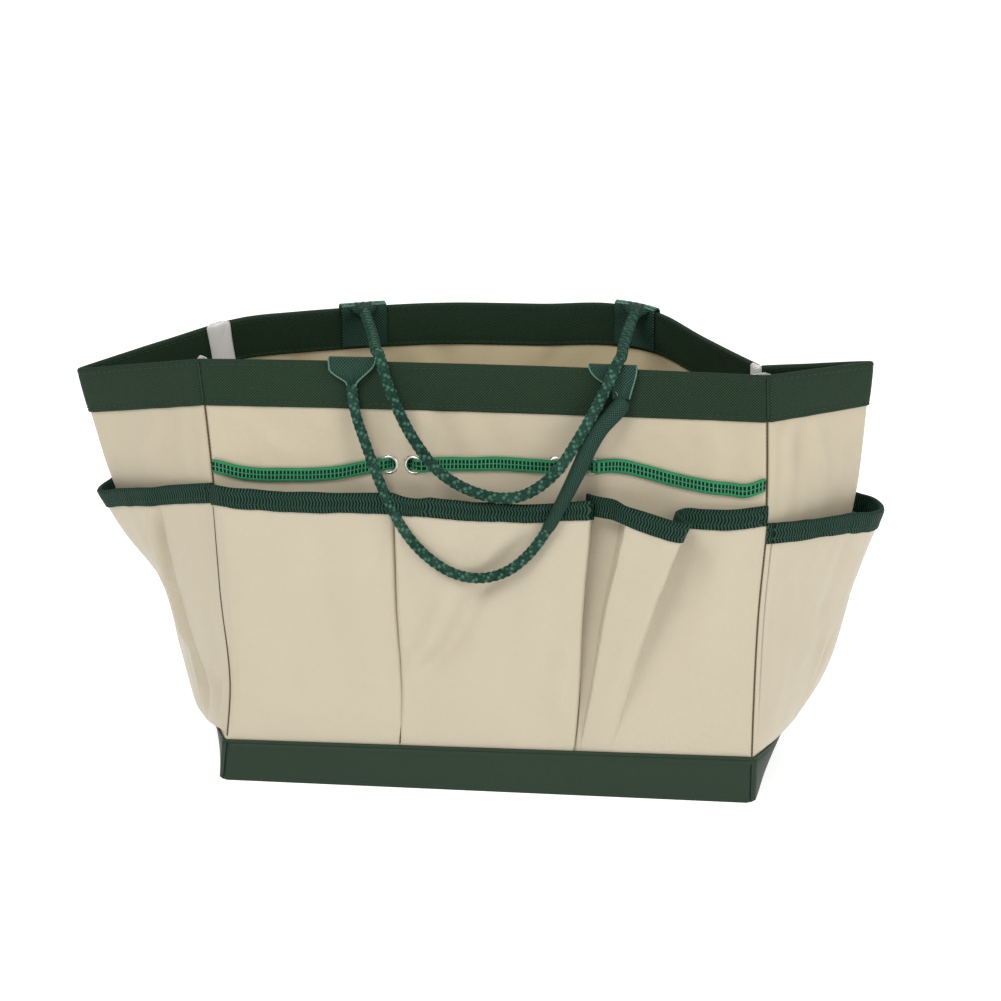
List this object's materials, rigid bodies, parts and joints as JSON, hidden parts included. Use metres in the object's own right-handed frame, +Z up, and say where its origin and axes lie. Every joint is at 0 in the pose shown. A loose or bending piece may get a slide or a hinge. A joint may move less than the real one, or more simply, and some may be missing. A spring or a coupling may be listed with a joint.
{
  "type": "garden tool bag",
  "caption": "Open-topped fabric garden tool bag with folded side gussets, outside pockets, elastic tool straps and two braided rope handles that lift.",
  "frame": {"origin": "centre of the underside of the base, on the surface the bag stands on", "axes": "+X to the bag's right along its length, +Y from the front panel to the back panel, +Z up"},
  "size_m": [0.4544, 0.1745, 0.2426],
  "materials": {
    "panel_fabric": "coated oxford weave, satin",
    "pocket_fabric": "coated oxford weave, satin",
    "band_fabric": "twill weave, matt",
    "base_fabric": "coated weave, satin",
    "binding_tape": "herringbone webbing, matt",
    "elastic": "woven elastic, matt",
    "eyelet_metal": "polished",
    "seam_tape": "cotton twill, matt",
    "rope": "braided polypropylene, satin",
    "board": "matt"
  },
  "bodies": {
    "bag": {"front_panel": "panel_fabric", "back_panel": "panel_fabric", "left_gusset": "panel_fabric", "right_gusset": "panel_fabric", "base_panel": "base_fabric", "base_board": "board", "front_base_band": "base_fabric", "front_top_band": "band_fabric", "right_base_band": "base_fabric", "right_top_band": "band_fabric", "back_base_band": "base_fabric", "back_top_band": "band_fabric", "left_base_band": "base_fabric", "left_top_band": "band_fabric", "front_left_seam_binding": "seam_tape", "front_right_seam_binding": "seam_tape", "back_right_seam_binding": "seam_tape", "back_left_seam_binding": "seam_tape", "front_left_pocket": "pocket_fabric", "front_left_pocket_binding": "binding_tape", "front_middle_pocket": "pocket_fabric", "front_middle_pocket_binding": "binding_tape", "front_right_pocket": "pocket_fabric", "front_right_pocket_binding": "binding_tape", "back_right_pocket": "pocket_fabric", "back_right_pocket_binding": "binding_tape", "back_middle_pocket": "pocket_fabric", "back_middle_pocket_binding": "binding_tape", "back_left_pocket": "pocket_fabric", "back_left_pocket_binding": "binding_tape", "right_side_pocket": "pocket_fabric", "right_side_pocket_binding": "binding_tape", "left_side_pocket": "pocket_fabric", "left_side_pocket_binding": "binding_tape", "front_elastic": "elastic", "front_eyelet_1": "eyelet_metal", "front_eyelet_2": "eyelet_metal", "front_eyelet_3": "eyelet_metal", "front_eyelet_4": "eyelet_metal", "back_elastic": "elastic", "back_eyelet_1": "eyelet_metal", "back_eyelet_2": "eyelet_metal", "back_eyelet_3": "eyelet_metal", "back_eyelet_4": "eyelet_metal", "front_left_anchor": "rope", "front_right_anchor": "rope", "rear_left_anchor": "rope", "rear_right_anchor": "rope"},
    "front_handle": {"front_handle_rope": "rope", "front_left_tab": "rope", "front_right_tab": "rope"},
    "rear_handle": {"rear_handle_left_rope": "rope", "rear_handle_right_rope": "rope"},
    "rear_handle_end": {"rear_handle_loop_rope": "rope"}
  },
  "joints": [
    {"name": "front_handle_lift", "type": "hinge", "parent": "bag", "child": "front_handle", "pos_m": [-0.005, -0.04562, 0.23204], "axis": [-1, 0, 0], "range_deg": [0, 168]},
    {"name": "rear_handle_lift", "type": "hinge", "parent": "bag", "child": "rear_handle", "pos_m": [-0.00754, 0.07271, 0.23137], "axis": [-0.9959, -0.09, 0.0031], "range_deg": [0, 90]},
    {"name": "rear_handle_unbend", "type": "hinge", "parent": "rear_handle", "child": "rear_handle_end", "pos_m": [0.005, -0.051, 0.2394], "axis": [-1, 0, 0], "range_deg": [0, 76.5]}
  ],
  "couplings": [
    {"joint": "rear_handle_unbend", "follows": "rear_handle_lift", "ratio": 0.85}
  ]
}
